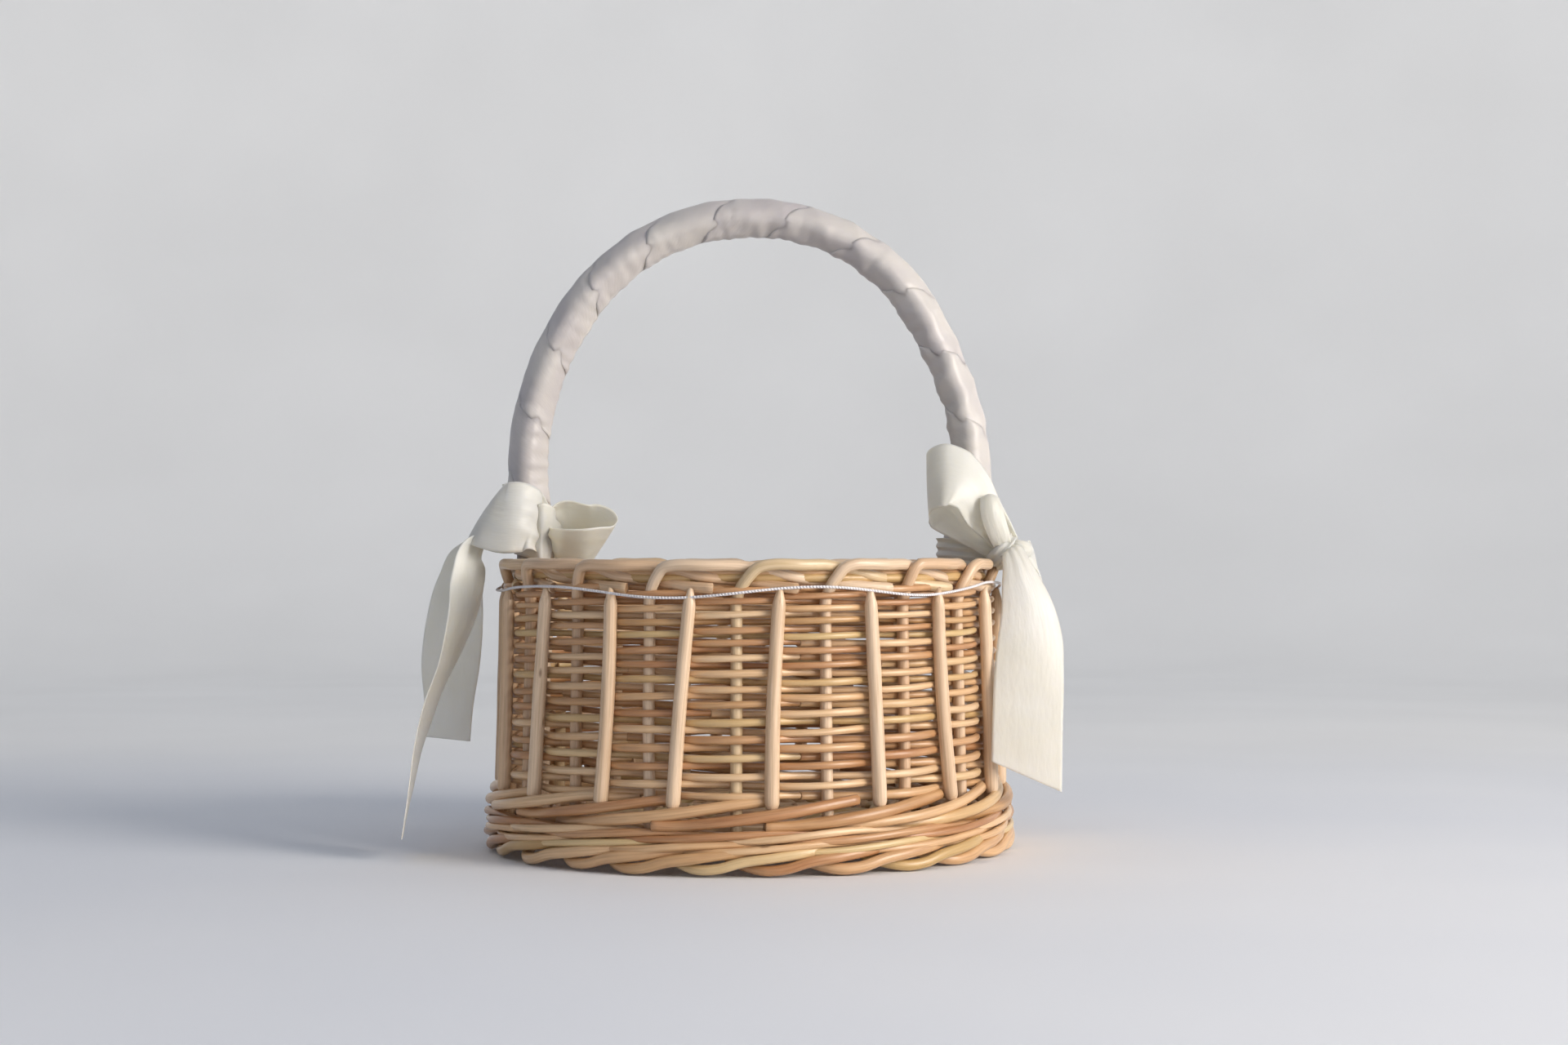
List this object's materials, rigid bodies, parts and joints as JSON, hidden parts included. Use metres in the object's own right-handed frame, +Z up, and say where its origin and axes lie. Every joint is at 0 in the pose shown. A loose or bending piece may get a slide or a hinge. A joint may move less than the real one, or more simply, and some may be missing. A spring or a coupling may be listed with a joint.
{
  "type": "flower girl basket",
  "caption": "Round woven willow basket with a satin-wrapped hoop handle and ribbon bows, carried by hand to hold loose petals.",
  "frame": {"origin": "on the floor under the middle of the basket", "axes": "+Z up, +X to the basket's right along the hoop, +Y to its back"},
  "size_m": [0.2834, 0.2256, 0.2769],
  "materials": {
    "willow_stakes": "peeled willow rod, satin",
    "willow_weave": "peeled willow rod, satin",
    "willow_base": "peeled willow rod, matte",
    "white_satin": "satin ribbon",
    "ivory_satin": "satin ribbon",
    "white_thread": "twisted thread"
  },
  "bodies": {
    "basket": {"side_stake_01": "willow_stakes", "side_stake_02": "willow_stakes", "side_stake_03": "willow_stakes", "side_stake_04": "willow_stakes", "side_stake_05": "willow_stakes", "side_stake_06": "willow_stakes", "side_stake_07": "willow_stakes", "side_stake_08": "willow_stakes", "side_stake_09": "willow_stakes", "side_stake_10": "willow_stakes", "side_stake_11": "willow_stakes", "side_stake_12": "willow_stakes", "side_stake_13": "willow_stakes", "side_stake_14": "willow_stakes", "side_stake_15": "willow_stakes", "side_stake_16": "willow_stakes", "side_stake_17": "willow_stakes", "side_stake_18": "willow_stakes", "outer_stake_01": "willow_stakes", "outer_stake_02": "willow_stakes", "outer_stake_03": "willow_stakes", "outer_stake_04": "willow_stakes", "outer_stake_05": "willow_stakes", "outer_stake_06": "willow_stakes", "outer_stake_07": "willow_stakes", "outer_stake_08": "willow_stakes", "outer_stake_09": "willow_stakes", "outer_stake_10": "willow_stakes", "outer_stake_11": "willow_stakes", "outer_stake_12": "willow_stakes", "outer_stake_13": "willow_stakes", "outer_stake_14": "willow_stakes", "outer_stake_15": "willow_stakes", "outer_stake_16": "willow_stakes", "outer_stake_17": "willow_stakes", "outer_stake_18": "willow_stakes", "weave_band_1": "willow_weave", "weave_band_2": "willow_weave", "weave_band_3": "willow_weave", "foot_border": "willow_weave", "lower_wale": "willow_weave", "upper_wale": "willow_weave", "base_slit_stick_1": "willow_base", "base_slit_stick_2": "willow_base", "base_threaded_stick_1": "willow_base", "base_threaded_stick_2": "willow_base", "base_weave": "willow_base", "handle_core": "willow_stakes", "handle_wrap": "white_satin", "rim_thread": "white_thread", "left_bow_knot": "ivory_satin", "left_bow_outer_loop": "ivory_satin", "left_bow_inner_loop": "ivory_satin", "right_bow_knot": "ivory_satin", "right_bow_upper_loop": "ivory_satin", "right_bow_back_loop": "ivory_satin"},
    "left_wide_tail": {"left_wide_tail": "ivory_satin"},
    "left_narrow_tail": {"left_narrow_tail": "ivory_satin"},
    "right_front_tail": {"right_front_tail": "ivory_satin"},
    "right_back_tail": {"right_back_tail": "ivory_satin"}
  },
  "joints": [
    {"name": "left_wide_tail_swing", "type": "hinge", "parent": "basket", "child": "left_wide_tail", "pos_m": [-0.111, 0.006, 0.1265], "axis": [0, 1, 0], "range_deg": [0, 35]},
    {"name": "left_narrow_tail_swing", "type": "hinge", "parent": "basket", "child": "left_narrow_tail", "pos_m": [-0.1115, -0.017, 0.1255], "axis": [0, 1, 0], "range_deg": [0, 35]},
    {"name": "right_front_tail_swing", "type": "hinge", "parent": "basket", "child": "right_front_tail", "pos_m": [0.114, -0.022, 0.1235], "axis": [-1, 0, 0], "range_deg": [0, 35]},
    {"name": "right_back_tail_swing", "type": "hinge", "parent": "basket", "child": "right_back_tail", "pos_m": [0.115, -0.006, 0.128], "axis": [1, 0, 0], "range_deg": [0, 25]}
  ]
}
